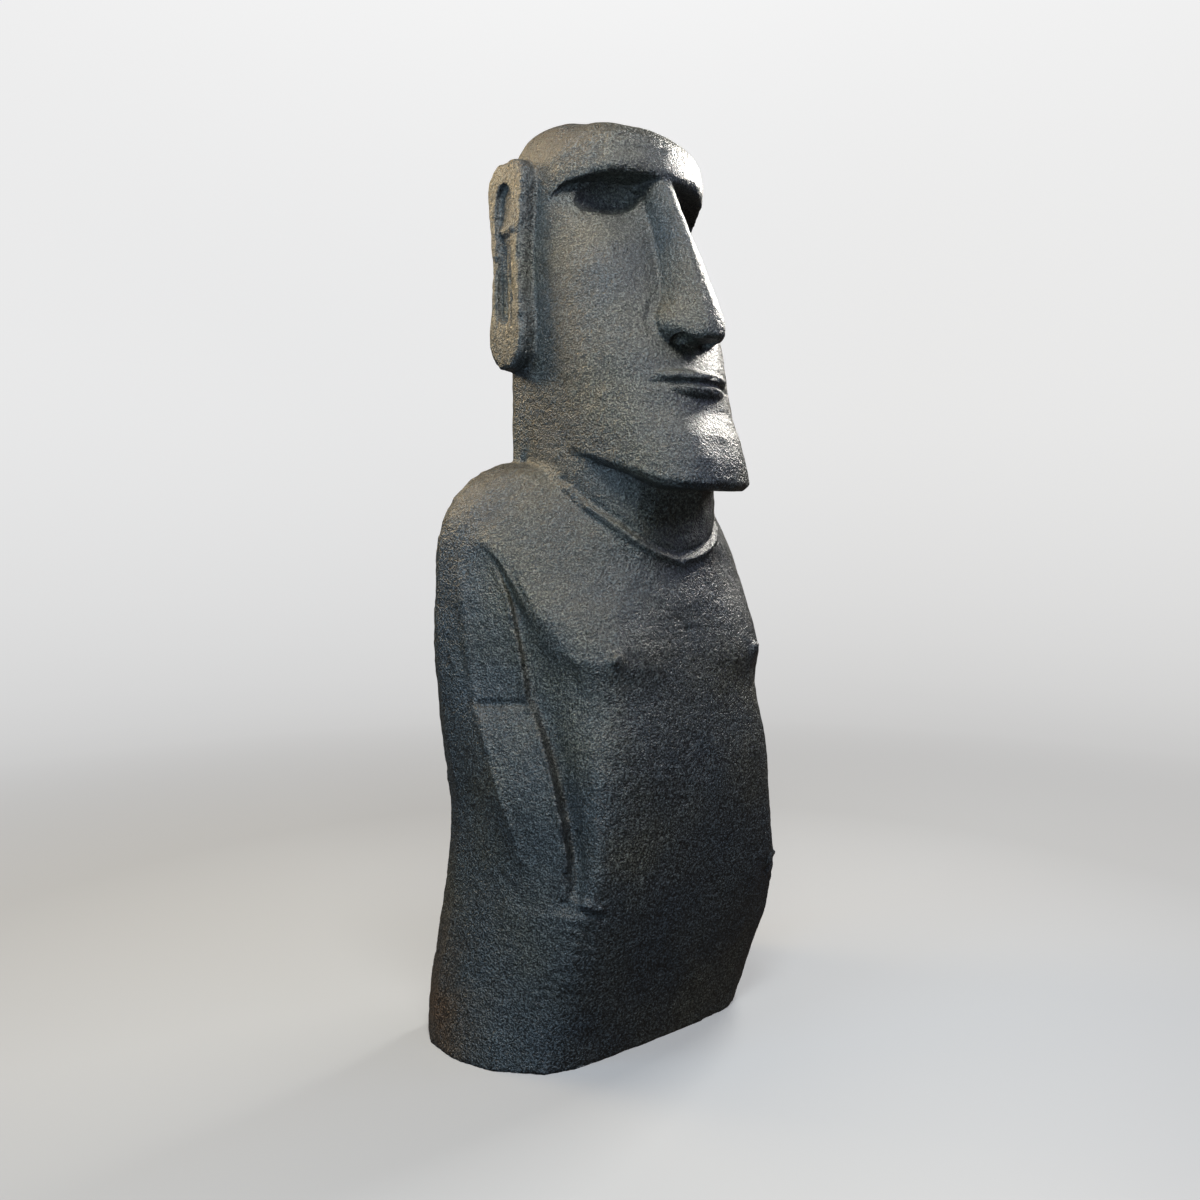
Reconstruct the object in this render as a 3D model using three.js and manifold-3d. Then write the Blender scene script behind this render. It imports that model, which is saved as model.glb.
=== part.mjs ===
// A moai: a standing stone ancestor figure, carved from one block of basalt.
// Millimetres, +Z up. The figure faces -Y, its left side is +X, and it stands on z = 0.
import * as THREE from "three";
import { LoftGeometry } from "three/addons/geometries/LoftGeometry.js";
import { mergeVertices } from "three/addons/utils/BufferGeometryUtils.js";
import Module from "manifold-3d";

const wasm = await Module();
wasm.setup();

// ---------------------------------------------------------------- driving dimensions
const HEIGHT = 2420;
const HEAD = HEIGHT * 5 / 12; // jaw line to crown
const UNIT = HEAD / 8; // the face is laid out in eighths of the head
const JAW_Z = HEIGHT - HEAD;
const BROW_Z = HEIGHT - 1.5 * UNIT;
const NOSE_Z = JAW_Z + 3 * UNIT;
const MOUTH_Z = JAW_Z + 2.15 * UNIT;

// ---------------------------------------------------------------- curves and rings

// A smooth curve of a size against height, through [height, size] stations, that never overshoots
// them.
function track(...stations) {
  const z = stations.map((s) => s[0]);
  const v = stations.map((s) => s[1]);
  const slope = z.slice(1).map((_, i) => (v[i + 1] - v[i]) / (z[i + 1] - z[i]));
  const tangent = v.map((_, i) => {
    const a = slope[Math.max(i - 1, 0)];
    const b = slope[Math.min(i, slope.length - 1)];
    return a * b <= 0 ? 0 : (2 * a * b) / (a + b);
  });
  return (height) => {
    const h = THREE.MathUtils.clamp(height, z[0], z[z.length - 1]);
    let i = 0;
    while (i < z.length - 2 && h > z[i + 1]) i++;
    const d = z[i + 1] - z[i];
    const t = (h - z[i]) / d;
    const t2 = t * t;
    const t3 = t2 * t;
    return (
      (2 * t3 - 3 * t2 + 1) * v[i] + (t3 - 2 * t2 + t) * d * tangent[i] +
      (3 * t2 - 2 * t3) * v[i + 1] + (t3 - t2) * d * tangent[i + 1]
    );
  };
}

// One closed section through the points of the figure's left half, front midline to back midline,
// with the right half as its mirror image. steps[i] is the number of points from rail i to rail i + 1,
// and the section turns sharply at the rails listed in corners.
function ring(half, steps, corners = []) {
  const last = half.length - 1;
  const right = half.slice(1, -1).reverse().map((p) => new THREE.Vector3(-p.x, p.y, p.z));
  const rails = [...half, ...right];
  const counts = [...steps, ...[...steps].reverse()];
  const sample = (curve, spans, first) => Array.from({ length: spans }, (_, i) => {
    const n = counts[(first + i) % rails.length];
    return Array.from({ length: n }, (_, k) => curve.getPoint((i + k / n) / spans));
  }).flat();
  if (corners.length === 0) {
    return sample(new THREE.CatmullRomCurve3(rails, true, "centripetal"), rails.length, 0);
  }
  const turns = [...corners, ...[...corners].reverse().map((c) => 2 * last - c)];
  return turns.flatMap((from, i) => {
    const to = i + 1 < turns.length ? turns[i + 1] : turns[0] + rails.length;
    const span = Array.from({ length: to - from + 1 }, (_, k) => rails[(from + k) % rails.length]);
    return sample(new THREE.CatmullRomCurve3(span, false, "centripetal"), to - from, from);
  });
}

const vec = (x, y, z) => new THREE.Vector3(x, y, z);

// ---------------------------------------------------------------- solids

// A closed geometry as a manifold-3d solid.
function solid(geometry) {
  const g = new THREE.BufferGeometry();
  g.setAttribute("position", geometry.getAttribute("position"));
  if (geometry.index) g.setIndex(geometry.index);
  const merged = mergeVertices(g, 1e-3);
  const index = merged.index.array;
  const triVerts = [];
  for (let i = 0; i < index.length; i += 3) {
    const [a, b, c] = [index[i], index[i + 1], index[i + 2]];
    if (a !== b && b !== c && c !== a) triVerts.push(a, b, c);
  }
  return new wasm.Manifold(
    new wasm.Mesh({
      numProp: 3,
      vertProperties: new Float32Array(merged.attributes.position.array),
      triVerts: new Uint32Array(triVerts),
    }),
  );
}

const loft = (rings) => solid(new LoftGeometry(rings, { capStart: true, capEnd: true }));

// An ellipsoid of the given radii, bent back by bend per mm of x squared, turned and set in place.
function pebble(centre, radii, { bend = 0, tilt = [0, 0, 0], across = 16, down = 8 } = {}) {
  const g = new THREE.SphereGeometry(1, across, down);
  g.scale(...radii);
  const p = g.getAttribute("position");
  for (let i = 0; i < p.count; i++) p.setY(i, p.getY(i) + bend * p.getX(i) ** 2);
  g.applyMatrix4(new THREE.Matrix4().makeRotationFromEuler(new THREE.Euler(...tilt)));
  g.translate(...centre);
  return solid(g);
}

// ---------------------------------------------------------------- trunk

// Rails of the trunk's left half: half-width and depth against height, up to the level (top) where
// the rail starts to round over toward the collar.
const trunkRails = [
  {
    // front midline: belly, chest
    x: () => 0,
    y: track([0, -197], [200, -244], [450, -284], [650, -296], [850, -282], [1057, -258], [1140, -248]),
    top: 1140, full: 0,
  },
  {
    // front of the belly, then the breast
    x: track(
      [0, 120], [150, 170], [300, 200], [440, 226], [700, 236], [850, 232], [960, 234],
      [1060, 230], [1150, 200],
    ),
    y: track(
      [0, -197], [200, -238], [300, -260], [450, -280], [700, -286], [850, -266], [915, -254],
      [985, -266], [1060, -246], [1150, -216],
    ),
    top: 1150, full: 0,
  },
  {
    // corner of the belly, then the edge of the breast
    x: track(
      [0, 235], [150, 302], [300, 338], [400, 331], [440, 316], [532, 308], [650, 307], [760, 304],
      [884, 292], [940, 301], [985, 318], [1047, 348], [1120, 377], [1180, 390],
    ),
    y: track(
      [0, -194], [150, -208], [300, -226], [400, -248], [440, -258], [532, -262], [650, -256],
      [760, -243], [884, -218], [930, -209], [975, -211], [1047, -160], [1120, -106], [1180, -68],
    ),
    top: 1180, full: 0.4,
  },
  {
    // side of the hip, then the bottom of the hollow between arm and belly
    x: track(
      [0, 312], [150, 354], [300, 380], [385, 375], [436, 330], [522, 318], [653, 322], [763, 333],
      [885, 350], [975, 368], [1047, 381], [1120, 392], [1200, 405], [1272, 434],
    ),
    y: track(
      [0, -188], [150, -180], [300, -174], [385, -182], [440, -208], [522, -192], [653, -156],
      [763, -124], [885, -87], [975, -70], [1047, -57], [1120, -37], [1200, -10], [1272, 18],
    ),
    top: 1272, full: 0.62,
  },
  {
    // side of the hip, then the inner edge of the arm
    x: track(
      [0, 385], [150, 397], [300, 407], [385, 399], [436, 353], [532, 355], [664, 367], [774, 372],
      [858, 371], [890, 380], [975, 390], [1047, 398], [1120, 404], [1200, 412], [1285, 442],
    ),
    y: track(
      [0, -163], [150, -140], [300, -124], [385, -134], [440, -206], [532, -205], [664, -179],
      [774, -138], [858, -97], [890, -74], [975, -70], [1047, -60], [1120, -42], [1200, -7],
      [1285, 44],
    ),
    top: 1285, full: 0.8,
  },
  {
    // edge of the hip, then the outer edge of the arm up to the shoulder
    x: track(
      [0, 474], [150, 446], [300, 434], [385, 428], [440, 398], [512, 413], [654, 449], [749, 460],
      [858, 464], [890, 459], [1137, 478], [1240, 474],
    ),
    y: track(
      [0, -66], [150, -60], [300, -58], [385, -62], [440, -130], [512, -99], [654, -66], [749, -32],
      [858, 10], [890, 29], [1137, 64], [1240, 86],
    ),
    top: 1240, full: 0.9,
  },
  {
    // flank behind the arm
    x: track(
      [0, 516], [150, 494], [300, 468], [446, 452], [590, 450], [712, 468], [871, 488],
      [1028, 494], [1230, 490],
    ),
    y: track([0, 70], [300, 40], [600, 50], [879, 92], [1137, 122], [1230, 132]),
    top: 1230, full: 1,
  },
  {
    // back corner
    x: track(
      [0, 478], [128, 476], [237, 470], [342, 464], [446, 456], [590, 452], [712, 470],
      [871, 490], [1028, 500], [1235, 494],
    ),
    y: track(
      [0, 240], [128, 230], [237, 208], [342, 186], [446, 176], [590, 164], [1028, 168],
      [1235, 176],
    ),
    top: 1235, full: 1,
  },
  {
    // back midline
    x: () => 0,
    y: track([0, 250], [200, 226], [600, 206], [1300, 214]),
    top: 1300, full: 1,
  },
];
const TRUNK_STEPS = [3, 3, 3, 2, 4, 3, 2, 5];
const ARM_EDGES = [4, 5]; // the arm's inner and outer edges are crisp
const TRUNK_ROWS = 27;

// The collar: where the neck rises out of the shoulders, lowest at the notch in front.
const collar = [
  vec(0, -222, 1232),
  vec(80, -221, 1252),
  vec(135, -206, 1282),
  vec(192, -146, 1339),
  vec(222, -100, 1375),
  vec(240, -40, 1425),
  vec(244, 40, 1482),
  vec(226, 172, 1506),
  vec(0, 198, 1512),
];
const SHOULDER_ROWS = 7;
const COLLAR_RADIUS = 9;

// The base is broken away on the figure's left and spreads on its right.
const leftBase = track([0, 0.68], [120, 0.88], [260, 0.99], [400, 1.02], [560, 1]);
function settle(p) {
  const q = p.clone();
  if (q.x > 0) q.x *= leftBase(q.z);
  return q;
}

function makeTrunk() {
  const rings = [];
  const low = trunkRails[0].top;
  for (let row = 0; row <= TRUNK_ROWS; row++) {
    const t = row / TRUNK_ROWS;
    rings.push(ring(trunkRails.map(({ x, y, top }) => {
      const z = t * (low + (top - low) * t * t);
      return vec(x(z), y(z), z);
    }), TRUNK_STEPS, ARM_EDGES));
  }
  for (let row = 1; row <= SHOULDER_ROWS; row++) {
    const turn = (row / SHOULDER_ROWS) * 0.5 * Math.PI;
    const up = Math.sin(turn);
    rings.push(ring(trunkRails.map(({ x, y, top, full }, i) => {
      const inward = THREE.MathUtils.lerp(up, 1 - Math.cos(turn), full);
      return vec(
        THREE.MathUtils.lerp(x(top), collar[i].x, inward),
        THREE.MathUtils.lerp(y(top), collar[i].y, inward),
        THREE.MathUtils.lerp(top, collar[i].z, up),
      );
    }), TRUNK_STEPS, ARM_EDGES));
  }
  // closed inside the neck
  rings.push(ring(collar.map((p) => vec(p.x * 0.5, p.y * 0.5, 1540)), TRUNK_STEPS, ARM_EDGES));
  return loft(rings.map((r) => r.map(settle)));
}

// ---------------------------------------------------------------- neck

const neckRails = [
  { x: () => 0, y: track([1100, -225], [1232, -230], [1400, -232]) },
  { x: () => 130, y: () => -214 },
  { x: () => 198, y: () => -152 },
  { x: () => 238, y: () => -75 },
  { x: () => 254, y: () => 20 },
  { x: () => 252, y: () => 112 },
  { x: () => 236, y: () => 174 },
  { x: () => 0, y: () => 194 },
];
const NECK_STEPS = [3, 2, 2, 2, 2, 2, 4];

function makeNeck() {
  const levels = [1150, 1260, 1370, 1480, 1600];
  const taper = track([1150, 1.02], [1300, 1], [1420, 0.97], [1600, 0.965]);
  return loft(
    levels.map((z) =>
      ring(neckRails.map(({ x, y }) => vec(x(z) * taper(z), y(z), z)), NECK_STEPS),
    ),
  );
}

// ---------------------------------------------------------------- skull

const LEAN = 0.3; // how far the face leans back per mm of height
const BACK_Y = 210; // the back of the head, flush with the back of the trunk

// the cheek plane on the midline, with the square chin standing forward of it
const cheekY = (z) => -350 + LEAN * (z - 1480);
const chin = track(
  [JAW_Z, 8], [JAW_Z + 0.3 * UNIT, 26], [JAW_Z + UNIT, 24], [JAW_Z + 1.6 * UNIT, 0],
);
const muzzle = track([JAW_Z + 1.3 * UNIT, 0], [MOUTH_Z, 12], [NOSE_Z + 40, 0]);
const socket = track(
  [BROW_Z - 1.9 * UNIT, 0], [BROW_Z - 0.9 * UNIT, 16], [BROW_Z - 0.25 * UNIT, 40], [BROW_Z, 42],
);
const cheekbone = track(
  [BROW_Z - 2.8 * UNIT, 0], [BROW_Z - 1.7 * UNIT, 12], [BROW_Z - 0.9 * UNIT, 0],
);
const cheekBack = track([JAW_Z, 30], [MOUTH_Z, 52], [BROW_Z, 34]);
const cornerBack = track([JAW_Z, 108], [MOUTH_Z, 118], [BROW_Z, 104]);

const skullRails = [
  {
    // midline
    x: () => 0,
    y: (z) => cheekY(z) - chin(z) - muzzle(z),
    foot: 0, brow: 0, out: 60, crown: 0.8,
  },
  {
    // beside the nose
    x: track([JAW_Z, 78], [MOUTH_Z, 88], [NOSE_Z, 98], [BROW_Z, 84]),
    y: (z) => cheekY(z) + 8 - chin(z) - 0.8 * muzzle(z) + socket(z),
    foot: 0, brow: 2, out: 100, crown: 0.8,
  },
  {
    // cheek and eye
    x: track([JAW_Z, 140], [MOUTH_Z, 168], [NOSE_Z, 180], [BROW_Z, 168]),
    y: (z) => cheekY(z) + cheekBack(z) - 0.3 * chin(z) + socket(z) - cheekbone(z),
    foot: 6, brow: -4, out: 92, crown: 0.75,
  },
  {
    // corner of the face: jaw, cheekbone, temple
    x: track([JAW_Z, 188], [MOUTH_Z, 218], [NOSE_Z + 60, 232], [BROW_Z, 232]),
    y: (z) => cheekY(z) + cornerBack(z) + 0.4 * socket(z) - cheekbone(z),
    foot: 40, brow: -22, out: 44, crown: 0.65,
  },
  {
    // side of the face
    x: track([JAW_Z, 222], [NOSE_Z, 252], [BROW_Z, 258]),
    y: track([JAW_Z, -120], [NOSE_Z, -60], [BROW_Z, 30]),
    foot: 84, brow: -58, out: 10, crown: 0.42,
  },
  {
    // root of the ear
    x: track([JAW_Z, 238], [NOSE_Z, 256], [BROW_Z, 262]),
    y: () => 110,
    foot: 132, brow: -70, out: 0, crown: 0.3,
  },
  {
    // back corner
    x: track([JAW_Z, 236], [BROW_Z, 246]),
    y: () => BACK_Y - 16,
    foot: -70, brow: -70, out: 0, crown: 0.3,
  },
  {
    // back midline
    x: () => 0,
    y: () => BACK_Y,
    foot: -70, brow: -70, out: 0, crown: 0.3,
  },
];
const SKULL_STEPS = [3, 3, 2, 3, 2, 2, 4];
const CHEEK_ROWS = 13;
const CROWN_ROWS = 7;

function makeSkull() {
  const section = (place) => ring(skullRails.map(place), SKULL_STEPS);
  const rings = [
    // closed inside the neck, then out to the line of the jaw
    section((r) => vec(r.x(JAW_Z) * 0.4, r.y(JAW_Z) * 0.35, JAW_Z - 100)),
    section((r) => vec(r.x(JAW_Z) * 0.6, r.y(JAW_Z) * 0.6, JAW_Z + r.foot + 6)),
    section((r) => vec(r.x(JAW_Z) * 0.95, r.y(JAW_Z + r.foot) * 0.955, JAW_Z + r.foot)),
  ];
  for (let row = 0; row <= CHEEK_ROWS; row++) {
    rings.push(section((r) => {
      const z = THREE.MathUtils.lerp(JAW_Z + r.foot + 14, BROW_Z + r.brow, row / CHEEK_ROWS);
      return vec(r.x(z), r.y(z), z);
    }));
  }
  // underside and edge of the brow
  for (const [up, share] of [[4, 0.5], [8, 0.93], [24, 1], [48, 0.96]]) {
    rings.push(section((r) => {
      const z = BROW_Z + r.brow;
      return vec(r.x(z), r.y(z) - r.out * share, z + up);
    }));
  }
  // forehead and crown: the top is nearly flat behind, and slopes off in front
  for (let row = 1; row <= CROWN_ROWS; row++) {
    const turn = (row / CROWN_ROWS) * 0.5 * Math.PI;
    rings.push(section((r) => {
      const z = BROW_Z + r.brow;
      const rim = vec(r.x(z), r.y(z) - r.out * 0.9, z + 62);
      const reach = Math.max(Math.cos(turn) ** r.crown, 0.12);
      return vec(
        rim.x * reach,
        THREE.MathUtils.lerp(60, rim.y, reach),
        THREE.MathUtils.lerp(rim.z, HEIGHT, Math.sin(turn)),
      );
    }));
  }
  return loft(rings);
}

// ---------------------------------------------------------------- face

// The nose: a long wedge, narrow at the brow, wide and square at the nostrils.
const NOSE_LONG = BROW_Z - NOSE_Z;
const noseHalf = track(
  [0, 0.6 * UNIT], [0.12 * NOSE_LONG, 0.6 * UNIT], [0.35 * NOSE_LONG, 0.46 * UNIT],
  [0.75 * NOSE_LONG, 0.32 * UNIT], [1.1 * NOSE_LONG, 0.34 * UNIT],
);
const noseOut = track(
  [0, 0.88 * UNIT], [0.1 * NOSE_LONG, 0.98 * UNIT], [0.5 * NOSE_LONG, 0.78 * UNIT],
  [0.9 * NOSE_LONG, 0.52 * UNIT], [1.1 * NOSE_LONG, 0.4 * UNIT],
);
const noseWing = track([0, 6], [20, 24], [48, 30], [78, 20], [112, 0]);

function makeNose() {
  const levels = [0, 9, 28, 50, 76, 104, 140, 190, 250, 320, 395, NOSE_LONG + 24];
  return loft(levels.map((up, i) => {
    const z = NOSE_Z + up;
    const tuck = i === 0 ? 0.88 : 1;
    const w = noseHalf(up) * tuck;
    const out = noseOut(up) * tuck;
    const wing = noseWing(up);
    return ring([
      vec(0, cheekY(z) - out, z),
      vec(0.4 * w, cheekY(z) - 0.94 * out, z),
      vec(0.68 * w, cheekY(z) - 0.7 * out, z),
      vec(0.84 * w + 0.75 * wing, cheekY(z) - 0.44 * out, z),
      vec(0.95 * w + wing, cheekY(z) - 0.08 * out, z),
      vec(w, cheekY(z) + 55, z),
      vec(0, cheekY(z) + 75, z),
    ], [1, 1, 1, 2, 1, 1]);
  }));
}

function addFace(head) {
  let face = head;
  const wingY = cheekY(NOSE_Z + 30);
  // eye hollows, deepest right under the brow
  for (const side of [-1, 1]) {
    const at = [side * 1.12 * UNIT, cheekY(BROW_Z) + 30, BROW_Z - 0.34 * UNIT];
    const turn = [-LEAN, 0, side * 0.3];
    face = face.subtract(pebble(at, [0.78 * UNIT, 58, 0.4 * UNIT], { tilt: turn, across: 20 }));
  }
  face = face.add(makeNose());
  // nostrils
  for (const side of [-1, 1]) {
    const at = [side * 0.4 * UNIT, wingY - 40, NOSE_Z];
    face = face.subtract(pebble(at, [0.22 * UNIT, 34, 24], { tilt: [0, 0, side * 0.3] }));
  }
  // thin lips, pressed together
  const lipY = cheekY(MOUTH_Z) - 8;
  for (const [up, half] of [[16, 1.1], [-16, 1.0]]) {
    const at = [0, lipY - 0.1 * up, MOUTH_Z + up];
    face = face.add(pebble(at, [half * UNIT, 38, 21], { bend: 0.0028, across: 20 }));
  }
  return face;
}

// ---------------------------------------------------------------- ears

// One ear: a tall plate standing off the side of the head, a long hollow down its outer face and
// a round lobe at the bottom.
const EAR_LOW = HEIGHT - 5.35 * UNIT;
const EAR_TOP = HEIGHT - 0.92 * UNIT;
const EAR_FRONT = 44;
const EAR_BACK = 224;
const EAR_FACE = 308; // outer face, from the midline
const EAR_ROOT = 215;
const EAR_BEVEL = 14;

// half-widths up the ear: lobe, waist and upper rim
const earWidth = track(
  [0, 0.3], [0.03, 0.62], [0.1, 0.88], [0.2, 0.9], [0.42, 0.76], [0.7, 0.86], [0.88, 1],
  [0.96, 0.82], [1, 0.4],
);
const earHollow = track(
  [0, 0.1], [0.05, 0.3], [0.2, 0.4], [0.5, 0.34], [0.8, 0.46], [0.95, 0.34], [1, 0.1],
);

// a plate of the ear's outline between two distances from the midline
function earPlate(side, width, low, high, shift, root, face, bevel) {
  const mid = (EAR_FRONT + EAR_BACK) / 2 + shift;
  const half = (EAR_BACK - EAR_FRONT) / 2;
  const stations = [0, 0.03, 0.07, 0.13, 0.22, 0.34, 0.48, 0.62, 0.76, 0.88, 0.94, 0.98, 1];
  const edge = (sign) => stations.map((t) => {
    return new THREE.Vector2(mid + sign * half * width(t), low + t * (high - low));
  });
  const shape = new THREE.Shape([...edge(1), ...edge(-1).reverse()]);
  const g = new THREE.ExtrudeGeometry(shape, {
    depth: face - root - bevel, bevelEnabled: bevel > 0,
    bevelThickness: bevel, bevelSize: bevel, bevelOffset: -bevel, bevelSegments: 2,
  });
  // drawn in (y, z), thickness along +x; the other ear is its mirror image
  g.applyMatrix4(new THREE.Matrix4().set(0, 0, 1, root, 1, 0, 0, 0, 0, 1, 0, 0, 0, 0, 0, 1));
  const plate = solid(g);
  return side > 0 ? plate : plate.mirror([1, 0, 0]);
}

function makeEar(side) {
  const plate = earPlate(side, earWidth, EAR_LOW, EAR_TOP, 0, EAR_ROOT, EAR_FACE, EAR_BEVEL);
  const low = EAR_LOW + 120;
  const hollow = earPlate(side, earHollow, low, EAR_TOP - 60, 4, EAR_FACE - 16, EAR_FACE + 20, 0);
  return plate.subtract(hollow);
}

// ---------------------------------------------------------------- small carving

const makeNipple = (side) => pebble([side * 244, -256, 996], [17, 14, 17], { across: 8, down: 6 });

// The collar's raised line, a thin rounded ridge along the foot of the neck.
function makeRidge() {
  const left = collar.slice(0, 8);
  const right = left.slice(1).reverse().map((p) => vec(-p.x, p.y, p.z));
  const curve = new THREE.CatmullRomCurve3([...right, ...left].map((p) => vec(p.x, p.y - 2, p.z + 2)));
  const steps = 32;
  const { normals, binormals } = curve.computeFrenetFrames(steps, false);
  const sides = 6;
  const rings = normals.map((n, i) => Array.from({ length: sides }, (_, k) => {
    const turn = (k / sides) * 2 * Math.PI;
    return curve.getPointAt(i / steps)
      .addScaledVector(n, COLLAR_RADIUS * Math.cos(turn))
      .addScaledVector(binormals[i], COLLAR_RADIUS * Math.sin(turn));
  }));
  return loft(rings);
}

// ---------------------------------------------------------------- assembly
let stone = makeTrunk().add(makeNeck()).add(addFace(makeSkull()));
stone = stone.add(makeRidge());
for (const side of [-1, 1]) {
  stone = stone.add(makeEar(side)).add(makeNipple(side));
}

const mesh = stone.getMesh();
const geometry = new THREE.BufferGeometry();
geometry.setAttribute("position", new THREE.BufferAttribute(new Float32Array(mesh.vertProperties), 3));
geometry.setIndex(new THREE.BufferAttribute(new Uint32Array(mesh.triVerts), 1));
// origin under the middle of the figure
geometry.computeBoundingBox();
const middle = geometry.boundingBox.getCenter(new THREE.Vector3());
geometry.translate(-middle.x, -middle.y, -geometry.boundingBox.min.z);
geometry.computeVertexNormals();

const basalt = new THREE.MeshStandardMaterial({ color: 0x4a4b47, roughness: 0.8, metalness: 0 });
const figure = new THREE.Mesh(geometry, basalt);
figure.name = "moai_figure";

const moai = new THREE.Group();
moai.add(figure);
export default moai;
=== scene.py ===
# %% [markdown]
# # A moai carved from dark basalt
#
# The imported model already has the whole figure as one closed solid. It is faceted, as a CAD solid
# is. This lesson turns it into weathered stone: the facets are smoothed away, the finer carving is
# cut with strokes of a virtual chisel, the surface is worn and pecked, and a dark basalt material
# and a soft studio are set up.

import math

import bpy
import bmesh
import numpy as np
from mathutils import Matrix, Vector, noise


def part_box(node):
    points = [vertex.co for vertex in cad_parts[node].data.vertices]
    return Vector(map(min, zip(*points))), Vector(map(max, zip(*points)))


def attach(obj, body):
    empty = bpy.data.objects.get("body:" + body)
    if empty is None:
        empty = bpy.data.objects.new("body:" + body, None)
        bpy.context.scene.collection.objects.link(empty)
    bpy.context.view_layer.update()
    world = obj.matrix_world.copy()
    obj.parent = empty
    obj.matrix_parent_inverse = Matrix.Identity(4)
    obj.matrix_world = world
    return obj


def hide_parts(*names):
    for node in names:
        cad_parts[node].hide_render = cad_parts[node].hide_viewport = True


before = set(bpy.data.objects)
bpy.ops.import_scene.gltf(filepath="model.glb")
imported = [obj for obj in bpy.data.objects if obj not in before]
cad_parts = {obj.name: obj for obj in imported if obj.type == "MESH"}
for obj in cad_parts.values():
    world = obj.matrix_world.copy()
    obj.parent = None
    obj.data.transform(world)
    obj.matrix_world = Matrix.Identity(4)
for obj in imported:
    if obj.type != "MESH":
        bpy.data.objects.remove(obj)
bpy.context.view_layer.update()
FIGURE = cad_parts["moai_figure"]
LOW, HIGH = (np.array(corner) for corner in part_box("moai_figure"))
print("figure", np.round(HIGH - LOW, 3), "m")

# %% [markdown]
# ## Named sizes
#
# Metres, in the part's frame: the face looks along -Y, and the figure's left side is +X. The head is
# laid out in eighths of its height.

# %% Sizes
HEIGHT = 2.42
HEAD = HEIGHT * 5 / 12
UNIT = HEAD / 8
JAW_Z = HEIGHT - HEAD
BROW_Z = HEIGHT - 1.5 * UNIT
NOSE_Z = JAW_Z + 3 * UNIT
MOUTH_Z = JAW_Z + 2.15 * UNIT
BACK = 0.210  # from the carver's middle plane to the back of the head
VOXEL = 0.005
LIMIT = 196000  # triangles in the finished mesh

corners = np.array([vertex.co for vertex in FIGURE.data.vertices])
at_ears = corners[(corners[:, 2] > NOSE_Z + UNIT) & (corners[:, 2] < BROW_Z)]
MID_X = (at_ears[:, 0].min() + at_ears[:, 0].max()) / 2
below_ears = corners[(corners[:, 2] > JAW_Z + UNIT) & (corners[:, 2] < JAW_Z + 2.5 * UNIT)]
MID_Y = below_ears[:, 1].max() - BACK
print("middle line at x, y:", round(MID_X, 4), round(MID_Y, 4))

# %% [markdown]
# ## A fine, even skin
#
# A copy of the solid is welded, then remeshed into small even quads, so that there is something to
# carve into.

# %% Copy and remesh
def figure_copy(name):
    mesh = FIGURE.data.copy()
    obj = bpy.data.objects.new(name, mesh)
    bpy.context.scene.collection.objects.link(obj)
    bm = bmesh.new()
    bm.from_mesh(mesh)
    bmesh.ops.remove_doubles(bm, verts=bm.verts, dist=1e-5)
    bm.to_mesh(mesh)
    bm.free()
    mesh.materials.clear()
    return obj


def apply_modifiers(obj):
    evaluated = obj.evaluated_get(bpy.context.evaluated_depsgraph_get())
    mesh = bpy.data.meshes.new_from_object(evaluated)
    obj.modifiers.clear()
    obj.data = mesh


stone = figure_copy("moai_stone")
remesh = stone.modifiers.new("even skin", "REMESH")
remesh.mode = "VOXEL"
remesh.voxel_size = VOXEL
apply_modifiers(stone)
print("skin:", len(stone.data.vertices), "vertices")

# %% [markdown]
# ## Smoothing the facets
#
# Each vertex moves toward the mean of its neighbours and then a little back again, which takes the
# facets out without shrinking the stone. The sharp carving is protected: where the normals of a
# neighbourhood disagree, there is a real edge and the vertex hardly moves.

# %% Smooth
def get_points(mesh):
    flat = np.empty(len(mesh.vertices) * 3)
    mesh.vertices.foreach_get("co", flat)
    return flat.reshape(-1, 3)


def get_normals(mesh):
    flat = np.empty(len(mesh.vertices) * 3)
    mesh.vertex_normals.foreach_get("vector", flat)
    return flat.reshape(-1, 3)


def get_edges(mesh):
    flat = np.empty(len(mesh.edges) * 2, dtype=np.int32)
    mesh.edges.foreach_get("vertices", flat)
    return flat.reshape(-1, 2)


def set_points(mesh, points):
    mesh.vertices.foreach_set("co", points.ravel())
    mesh.update()


def neighbour_mean(values, edges):
    a, b = edges.T
    n = len(values)
    count = np.bincount(a, minlength=n) + np.bincount(b, minlength=n)
    total = [np.bincount(a, v[b], n) + np.bincount(b, v[a], n) for v in values.T]
    return np.stack(total, axis=1) / count[:, None]


def step(low, high, value):
    t = np.clip((value - low) / (high - low), 0, 1)
    return t * t * (3 - 2 * t)


def relax(points, edges, strength, passes):
    for _ in range(passes):
        for push in (0.6, -0.62):
            points = points + push * strength * (neighbour_mean(points, edges) - points)
    return points


edges = get_edges(stone.data)
points = get_points(stone.data)
SPREAD_PASSES = 14
agree = get_normals(stone.data)
for _ in range(SPREAD_PASSES):
    agree = neighbour_mean(agree, edges)
agree = np.linalg.norm(agree, axis=1)
flat = step(0.90, 0.985, agree)[:, None]
points = relax(points, edges, 0.12 + 0.88 * flat, 26)
points = relax(points, edges, np.full_like(flat, 0.8), 3)
set_points(stone.data, points)
print("protected share:", round(float(np.mean(flat < 0.5)), 3))

# %% [markdown]
# ## Carving with strokes
#
# A stroke follows a path and pushes the surface in (or out, with a negative depth) along its
# normals. A path is drawn as the carver would see it: on the front it is (distance from the middle
# line, height), on an ear it is (depth, height). Both halves of the figure get the same stroke.

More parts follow.
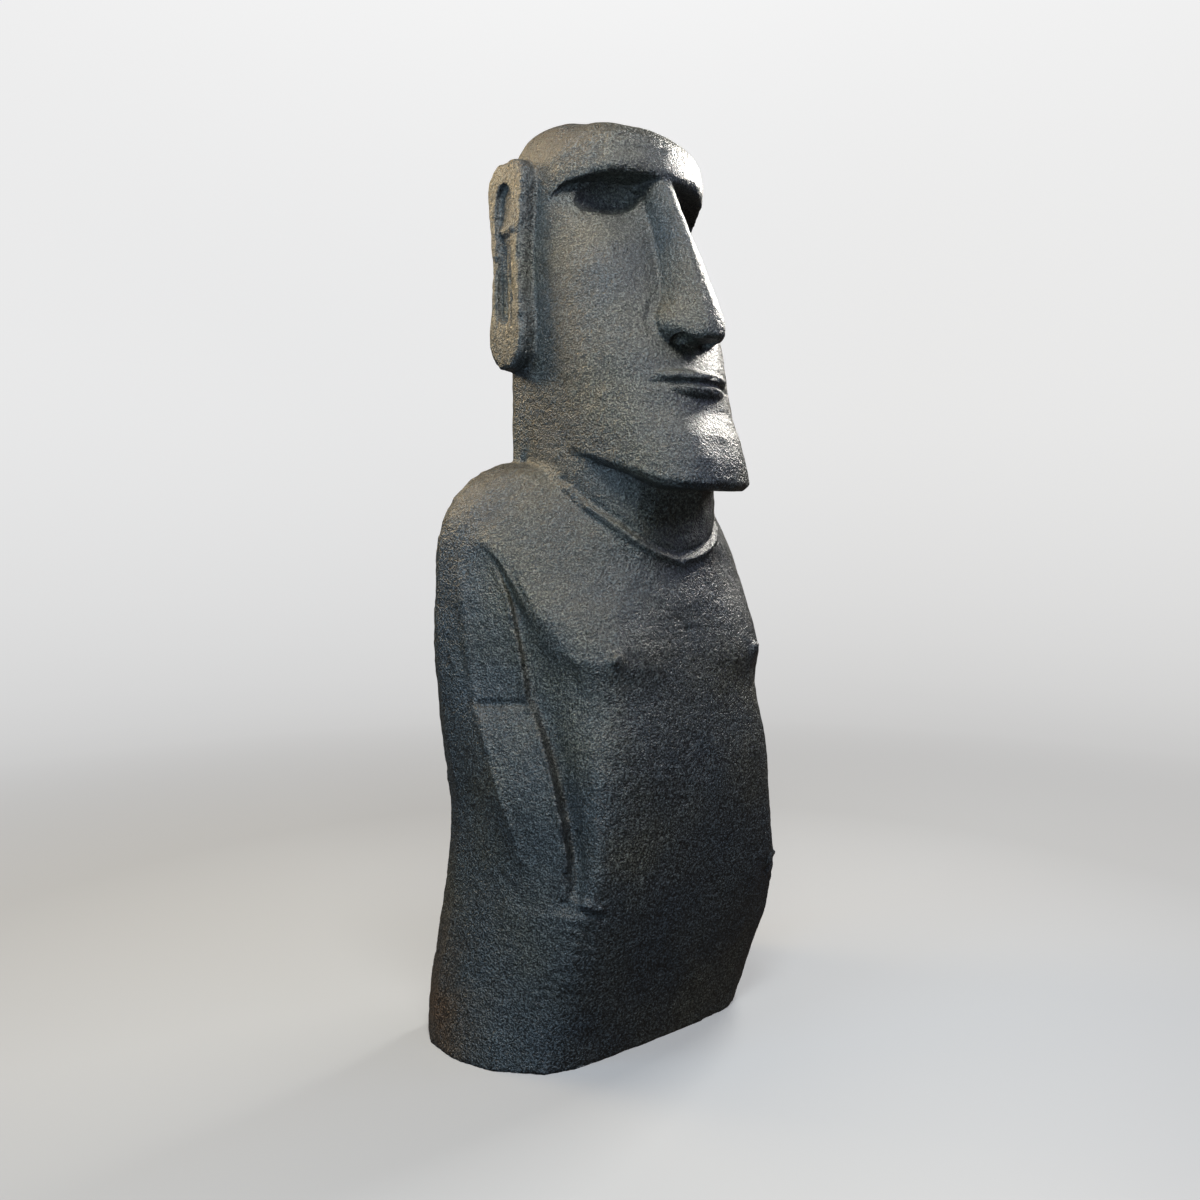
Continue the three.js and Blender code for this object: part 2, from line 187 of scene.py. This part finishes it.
# %% Strokes
def near_path(u, v, path):
    """Distance of every (u, v) to the path, and how far along it the nearest place is, 0 to 1."""
    best = np.full(len(u), 1e9)
    along = np.zeros(len(u))
    path = np.array(path)
    lengths = np.linalg.norm(np.diff(path, axis=0), axis=1)
    starts = np.concatenate([[0], np.cumsum(lengths)])
    for (a, b), length, start in zip(zip(path[:-1], path[1:]), lengths, starts):
        t = np.clip(((u - a[0]) * (b - a)[0] + (v - a[1]) * (b - a)[1]) / length**2, 0, 1)
        distance = np.hypot(u - a[0] - t * (b - a)[0], v - a[1] - t * (b - a)[1])
        nearer = distance < best
        best[nearer] = distance[nearer]
        along[nearer] = (start + t[nearer] * length) / starts[-1]
    return best, along


class Carver:
    """Holds the stone's points and normals, and cuts strokes into them."""

    def __init__(self, mesh):
        self.points = get_points(mesh)
        self.normals = get_normals(mesh)
        self.side = np.abs(self.points[:, 0] - MID_X)
        self.deep = self.points[:, 1] - MID_Y
        self.up = self.points[:, 2].copy()

    def facing(self, view):
        if view == "front":
            return step(0.05, 0.4, -self.normals[:, 1])
        if view == "back":
            return step(0.05, 0.4, self.normals[:, 1])
        outward = self.normals[:, 0] * np.sign(self.points[:, 0] - MID_X)
        return step(0.3, 0.7, outward) * (self.side > 0.27)

    def push(self, amount):
        self.points -= self.normals * amount[:, None]

    def stroke(self, view, path, width, depth, fade=0.15):
        u = self.deep if view == "ear" else self.side
        distance, along = near_path(u, self.up, path)
        ends = step(0, fade, np.minimum(along, 1 - along)) if fade else 1
        self.push(depth * np.exp(-((distance / width) ** 2)) * ends * self.facing(view))

    def dab(self, view, place, radius, depth):
        distance = np.hypot(self.side - place[0], self.up - place[1])
        self.push(depth * np.exp(-((distance / radius) ** 2)) * self.facing(view))


# %% Carve
carver = Carver(stone.data)

# the arm's two edges stand up as thin lines, and a groove starts the armpit
ARM_INNER = [
    (0.440, 1.280), (0.412, 1.200), (0.404, 1.120), (0.398, 1.047), (0.390, 0.975), (0.380, 0.890),
    (0.371, 0.858), (0.372, 0.774), (0.367, 0.664), (0.355, 0.532), (0.353, 0.450),
]
ARM_OUTER = [
    (0.474, 1.240), (0.478, 1.137), (0.459, 0.890), (0.464, 0.858), (0.460, 0.749), (0.449, 0.654),
    (0.413, 0.512), (0.398, 0.440),
]
ARMPIT = [(0.432, 1.278), (0.404, 1.200), (0.388, 1.120), (0.378, 1.040)]
ELBOW = [(0.376, 0.884), (0.462, 0.878)]
carver.stroke("front", ARM_INNER, 0.007, -0.006)
carver.stroke("front", ARM_OUTER, 0.007, -0.006)
carver.stroke("front", ARMPIT, 0.007, 0.006, fade=0.4)
carver.stroke("front", ELBOW, 0.008, 0.009, fade=0.1)

# the hand is only a small ledge, with the fingers hinted at
carver.stroke("front", [(0.358, 0.430), (0.325, 0.418), (0.275, 0.398)], 0.010, -0.007, fade=0.3)
carver.stroke("front", [(0.350, 0.404), (0.310, 0.392), (0.265, 0.374)], 0.010, 0.005, fade=0.3)
for finger in range(1, 4):
    start = (0.376, 0.402 - 0.030 * finger)
    tip = (0.300 - 0.006 * finger, 0.376 - 0.032 * finger)
    carver.stroke("front", [start, tip], 0.007, 0.0022, fade=0.3)

# the ear: a bar across the hollow, upright grooves under it, and a thin line along the front rim
EAR_MID = 0.134
carver.stroke("ear", [(EAR_MID - 0.036, 2.114), (EAR_MID + 0.032, 2.123)], 0.011, -0.011, fade=0)
for groove in range(4):
    deep = EAR_MID - 0.030 + 0.022 * groove
    carver.stroke("ear", [(deep - 0.006, 1.84), (deep, 1.97), (deep + 0.004, 2.09)], 0.0055, 0.006)
carver.stroke("ear", [(0.060, 1.80), (0.068, 1.98), (0.056, 2.22)], 0.006, -0.003, fade=0.2)

# the face: a mouth line and the curl of each nostril
MOUTH = [(0.0, MOUTH_Z), (0.09, MOUTH_Z - 0.001), (0.135, MOUTH_Z - 0.004)]
carver.stroke("front", MOUTH, 0.006, 0.006, fade=0)
WING = [
    (0.110, NOSE_Z + 0.004), (0.116, NOSE_Z + 0.05), (0.10, NOSE_Z + 0.096), (0.074, NOSE_Z + 0.124),
]
carver.stroke("front", WING, 0.008, 0.005, fade=0.25)

# the collar's ridge, with a crease above it
COLLAR = [(0, 1.232), (0.080, 1.252), (0.135, 1.282), (0.192, 1.339), (0.222, 1.375), (0.240, 1.425)]
carver.stroke("front", COLLAR, 0.008, -0.007, fade=0)
carver.stroke("front", [(side, up + 0.022) for side, up in COLLAR], 0.008, 0.005, fade=0)

# nipples, the notch under the collar, the breastbone's dimple and the groove of the spine
carver.dab("front", (0.244, 0.996), 0.020, -0.009)
carver.dab("front", (0.244, 0.996), 0.008, 0.009)
carver.dab("front", (0, 1.057), 0.009, 0.008)
carver.dab("front", (0, 1.222), 0.014, -0.006)
carver.stroke("back", [(0, 0.35), (0, 1.32)], 0.022, 0.006, fade=0.3)
set_points(stone.data, carver.points)

# %% [markdown]
# ## Weathering
#
# Basalt is dressed by pecking it with a harder stone, which leaves shallow pits a finger wide, and
# centuries outdoors round them off. Slow waves break the ruled look of the surface, pecks cover
# it, the hips keep a few level tool marks, and edges are chipped: a vertex counts as an edge when
# it stands proud of its neighbours.

# %% Weather
def rough(points, size, seed):
    shift = Vector((seed * 7.3, seed * 3.1, seed * 5.7))
    return np.array([noise.noise(Vector(p) / size + shift) for p in points])


points = get_points(stone.data)
normals = get_normals(stone.data)
foot = points[:, 2] < 0.003
proud = points - neighbour_mean(points, edges)
proud = np.sum(proud * normals, axis=1)[:, None]
for _ in range(6):
    proud = neighbour_mean(proud, edges)
EDGE_FROM, EDGE_FULL = 0.00007, 0.00035  # how proud a vertex stands, in metres
edge_share = step(EDGE_FROM, EDGE_FULL, proud[:, 0])
print("edge share:", round(float(np.mean(edge_share > 0.5)), 3))

# %% Waves, pecks and tool marks
wave = 0.0026 * rough(points, 0.17, 1) + 0.0015 * rough(points, 0.06, 2)
worn = step(-0.35, 0.35, rough(points, 0.24, 6))
peck = (0.4 + 0.6 * worn) * (0.0012 * rough(points, 0.030, 3) + 0.0010 * rough(points, 0.016, 7))
height = points[:, 2]
on_hip = step(0.10, 0.2, height) * (1 - step(0.38, 0.48, height))
on_hip *= step(0.3, 0.7, np.abs(normals[:, 0]))
broken = step(-0.1, 0.4, rough(points, 0.07, 9))
TOOL_STEP = 0.030
bend = 9 * rough(points, 0.08, 8)
tool_mark = 0.0009 * on_hip * broken * np.sin(2 * math.pi * height / TOOL_STEP + bend)
points = points + normals * (wave + peck + tool_mark)[:, None]

# %% Chips, and a level foot
chip = 0.005 * edge_share * step(0.12, 0.5, rough(points, 0.045, 4))
chip += 0.002 * edge_share * step(0.1, 0.4, rough(points, 0.02, 5))
points = points - normals * chip[:, None]
points[:, 2] = np.maximum(points[:, 2], 0)
points[foot, 2] = 0
set_points(stone.data, points)
print("deepest chip:", round(1000 * float(chip.max()), 1), "mm")

# %% [markdown]
# ## Thinning the mesh
#
# The even skin spends as many triangles on a plain back as on an ear. Collapsing the least telling
# edges first brings the count down and leaves the carving as it is.

# %% Fewer triangles where the surface is plain
triangles = sum(len(p.vertices) - 2 for p in stone.data.polygons)
thin = stone.modifiers.new("thin out", "DECIMATE")
thin.ratio = min(1, LIMIT / triangles)
apply_modifiers(stone)
print("triangles:", triangles, "->", len(stone.data.polygons))

# %% [markdown]
# ## One stone, one piece
#
# The statue is a single block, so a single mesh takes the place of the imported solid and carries
# one finish.

# %% Finish the piece
for polygon in stone.data.polygons:
    polygon.use_smooth = True
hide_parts("moai_figure")
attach(stone, "root")


# %% [markdown]
# ## Node helper
#
# Colours are written as the hex codes seen on screen and turned into linear light by one function.
# A second one adds a node with its settings and links.

# %% Colours and nodes
MM = 0.001


def srgb(hex_code):
    parts = [int(hex_code[i:i + 2], 16) / 255 for i in (0, 2, 4)]
    return [c / 12.92 if c <= 0.04045 else ((c + 0.055) / 1.055) ** 2.4 for c in parts] + [1]


def add_node(tree, kind, settings=None, links=None, stops=None):
    """Add a node. Stops are (place, hex colour), for a colour ramp."""
    node = tree.nodes.new(kind)
    for name, value in (settings or {}).items():
        if name in node.inputs:
            node.inputs[name].default_value = value
        else:
            setattr(node, name, value)
    for name, source in (links or {}).items():
        tree.links.new(source, node.inputs[name])
    for index, (place, color) in enumerate(stops or []):
        elements = node.color_ramp.elements
        element = elements[index] if index < 2 else elements.new(place)
        element.position = place
        element.color = srgb(color)
    return node


# %% [markdown]
# ## Dark basalt, pecked and weathered
#
# Basalt is a fine-grained volcanic rock. Pecking bruises its crystals, so the surface is dull and
# speckled with light grains; rain and lichen turn it olive on top and leave it blue-grey below.
# The real grain is 1 to 2 mm, too fine to show on a stone of this height, so it is drawn at 5 mm.

# %% Dark basalt: colour
basalt = bpy.data.materials.new("dark basalt")
basalt.use_nodes = True
tree = basalt.node_tree
shader = tree.nodes["Principled BSDF"]
place = add_node(tree, "ShaderNodeTexCoord").outputs["Object"]

# broad patches, blue-grey to olive-grey, about 0.3 m across
patches = add_node(tree, "ShaderNodeTexNoise", {"Scale": 1 / (280 * MM), "Detail": 4}, {"Vector": place})
body = add_node(
    tree, "ShaderNodeValToRGB", links={"Fac": patches.outputs["Fac"]},
    stops=[(0.34, "343b40"), (0.66, "4a4a42"), (0.5, "3c4040")],
)

# painted light: the warm light from behind, painted as a lighter brown in patches at the foot of the back
parts = add_node(tree, "ShaderNodeSeparateXYZ", links={"Vector": place})
low = add_node(
    tree, "ShaderNodeMapRange", {"From Min": 0.42, "From Max": 0.12}, {"Value": parts.outputs["Z"]},
)
behind = add_node(
    tree, "ShaderNodeMapRange", {"From Min": -0.05, "From Max": 0.16}, {"Value": parts.outputs["Y"]},
)
painted_back_light = add_node(
    tree, "ShaderNodeMath", {"operation": "MULTIPLY"},
    {0: low.outputs["Result"], 1: behind.outputs["Result"]},
)
spots = add_node(
    tree, "ShaderNodeMapRange", {"From Min": 0.42, "From Max": 0.66, "To Max": 0.8},
    {"Value": patches.outputs["Fac"]},
)
painted_back_light = add_node(
    tree, "ShaderNodeMath", {"operation": "MULTIPLY"},
    {0: painted_back_light.outputs["Value"], 1: spots.outputs["Result"]},
)
# the lighter brown of the painted warm back light
back_light_brown = add_node(tree, "ShaderNodeRGB")
back_light_brown.outputs[0].default_value = srgb("574232")
COLOR_A, COLOR_B, COLOR_OUT = 6, 7, 2  # sockets of a mix node set to colours
# mixes the painted warm back light into the stone's colour
with_back_light = add_node(
    tree, "ShaderNodeMix", {"data_type": "RGBA"},
    {"Factor": painted_back_light.outputs["Value"], COLOR_A: body.outputs["Color"], COLOR_B: back_light_brown.outputs["Color"]},
)

# bruised grains: fine light and dark speckle
grain = add_node(
    tree, "ShaderNodeTexNoise", {"Scale": 1 / (5 * MM), "Detail": 2, "Roughness": 0.6},
    {"Vector": place},
)
speckle = add_node(
    tree, "ShaderNodeValToRGB", links={"Fac": grain.outputs["Fac"]},
    stops=[(0.38, "0c0c0c"), (0.64, "ffffff"), (0.5, "747474")],
)
color = add_node(
    tree, "ShaderNodeMix", {"data_type": "RGBA", "blend_type": "OVERLAY", "Factor": 0.9},
    {COLOR_A: with_back_light.outputs[COLOR_OUT], COLOR_B: speckle.outputs["Color"]},
)
tree.links.new(color.outputs[COLOR_OUT], shader.inputs["Base Color"])

# %% Dark basalt: surface
shader.inputs["IOR"].default_value = 1.55
sheen = add_node(
    tree, "ShaderNodeTexNoise", {"Scale": 1 / (9 * MM), "Detail": 3}, {"Vector": place},
)
dull = add_node(
    tree, "ShaderNodeMapRange", {"From Min": 0.3, "From Max": 0.7, "To Min": 0.24, "To Max": 0.5},
    {"Value": sheen.outputs["Fac"]},
)
tree.links.new(dull.outputs["Result"], shader.inputs["Roughness"])

# pecked pits a finger wide, lumps between them, and the grain itself
pits = add_node(tree, "ShaderNodeTexVoronoi", {"Scale": 1 / (13 * MM)}, {"Vector": place})
pit_bump = add_node(
    tree, "ShaderNodeBump", {"Strength": 0.5, "Distance": 2.5 * MM}, {"Height": pits.outputs["Distance"]},
)
lumps = add_node(
    tree, "ShaderNodeTexNoise", {"Scale": 1 / (22 * MM), "Detail": 4, "Roughness": 0.6},
    {"Vector": place},
)
lump_bump = add_node(
    tree, "ShaderNodeBump", {"Strength": 0.9, "Distance": 5 * MM},
    {"Height": lumps.outputs["Fac"], "Normal": pit_bump.outputs["Normal"]},
)
grain_bump = add_node(
    tree, "ShaderNodeBump", {"Strength": 0.9, "Distance": 5 * MM},
    {"Height": grain.outputs["Fac"], "Normal": lump_bump.outputs["Normal"]},
)
tree.links.new(grain_bump.outputs["Normal"], shader.inputs["Normal"])
stone.data.materials.append(basalt)

# %% [markdown]
# ## Studio
#
# The statue stands on a sheet of pale paper that sweeps up into a wall all the way round, so there
# is no horizon from any side. The paper glows a little by itself and is kept out of the stone's
# reflections: a near-black stone in front of near-white paper would otherwise look grey.

# %% Paper sweep
FLAT = 5.0
CURVE = 3.0
WALL = 9.0
PAPER_GLOW = 0.95

bm = bmesh.new()
profile = [(0, 0, 0), (FLAT, 0, 0)]
for part in range(1, 9):
    turn = part / 8 * math.pi / 2
    profile.append((FLAT + CURVE * math.sin(turn), 0, CURVE - CURVE * math.cos(turn)))
profile.append((FLAT + CURVE, 0, WALL))
line = [bm.verts.new(place) for place in profile]
rim = [bm.edges.new(pair) for pair in zip(line, line[1:])]
bmesh.ops.spin(
    bm, geom=line + rim, cent=(0, 0, 0), axis=(0, 0, 1), angle=2 * math.pi, steps=72, use_merge=True,
)
bmesh.ops.remove_doubles(bm, verts=bm.verts, dist=1e-4)
bmesh.ops.recalc_face_normals(bm, faces=bm.faces)
bmesh.ops.reverse_faces(bm, faces=bm.faces)
for face in bm.faces:
    face.smooth = True
sweep_mesh = bpy.data.meshes.new("paper_sweep")
bm.to_mesh(sweep_mesh)
bm.free()
sweep = bpy.data.objects.new("paper_sweep", sweep_mesh)
bpy.context.scene.collection.objects.link(sweep)
sweep.visible_diffuse = False
sweep.visible_glossy = False
sweep.visible_shadow = False

# %% Pale paper
paper = bpy.data.materials.new("pale paper")
paper.use_nodes = True
tree = paper.node_tree
shader = tree.nodes["Principled BSDF"]
shader.inputs["Base Color"].default_value = srgb("7c7f83")
shader.inputs["Roughness"].default_value = 0.6
shader.inputs["Emission Strength"].default_value = PAPER_GLOW
place = add_node(tree, "ShaderNodeTexCoord").outputs["Object"]
reach = add_node(tree, "ShaderNodeVectorMath", {"operation": "LENGTH"}, {0: place}).outputs["Value"]
share = add_node(tree, "ShaderNodeMapRange", {"From Max": 12.0}, {"Value": reach})
glow = add_node(
    tree, "ShaderNodeValToRGB", links={"Fac": share.outputs["Result"]},
    stops=[(0, "848484"), (1, "fefefe"), (0.2, "8c8c8c"), (0.42, "c4c4c4"), (0.7, "e6e6e6")],
)
tree.links.new(glow.outputs["Color"], shader.inputs["Emission Color"])
sweep_mesh.materials.append(paper)

# %% [markdown]
# ## Camera
#
# The camera stands level with the figure's collar, nearly three metres off its right front, so both
# the face and the ear and arm of that side are seen. Its lens is shifted instead of tilted, which
# keeps the upright lines upright.

# %% Camera
TURN = math.radians(40)
DISTANCE = 2.8
camera = bpy.data.cameras.new("camera")
camera.lens = 30.33
camera.sensor_width = 36
EYE_HEIGHT = 1.25
camera.shift_x = -0.02
camera.shift_y = -0.0375
eye = bpy.data.objects.new("camera", camera)
eye.location = (
    MID_X - DISTANCE * math.sin(TURN), MID_Y - DISTANCE * math.cos(TURN), EYE_HEIGHT,
)
eye.rotation_euler = (math.pi / 2, 0, -TURN)
bpy.context.scene.collection.objects.link(eye)
bpy.context.scene.camera = eye

# %% [markdown]
# ## Lamps
#
# Big soft lamps round the figure, each given by its turn from straight ahead of the face (minus is
# the figure's right), its elevation, power in watts and colour.

# %% Lamps
LAMP_REACH = 3.2
CHEST = Vector((0, 0, 1.3))


def lamp(name, turn, rise, power, color, size=1.0):
    turn, rise = math.radians(turn), math.radians(rise)
    light = bpy.data.lights.new(name, "AREA")
    light.size = size
    light.energy = power
    light.color = srgb(color)[:3]
    obj = bpy.data.objects.new(name, light)
    away = Vector((math.cos(rise) * math.sin(turn), -math.cos(rise) * math.cos(turn), math.sin(rise)))
    obj.location = CHEST + LAMP_REACH * away
    obj.rotation_euler = away.to_track_quat("Z", "Y").to_euler()
    obj.visible_camera = False
    bpy.context.scene.collection.objects.link(obj)


lamp("left low", -62, -5, 44, "c4e4ff", size=0.8)
lamp("left high", -95, 35, 36, "d0ecff")
lamp("overhead", -35, 55, 104, "fffdf4")
lamp("front", 15, 35, 14, "c8d8ff")
lamp("right front", 40, 35, 22, "d4dcff")
lamp("warm back", -130, 65, 40, "ffd9a0")
lamp("warm rim", -150, 35, 60, "ffe2b0")
lamp("far rim", 94, 42, 165, "fffaf0")

world = bpy.data.worlds.new("studio")
world.use_nodes = True
world.node_tree.nodes["Background"].inputs["Color"].default_value = srgb("ffeee0")
world.node_tree.nodes["Background"].inputs["Strength"].default_value = 0.07
bpy.context.scene.world = world
bpy.context.scene.view_settings.view_transform = "Standard"
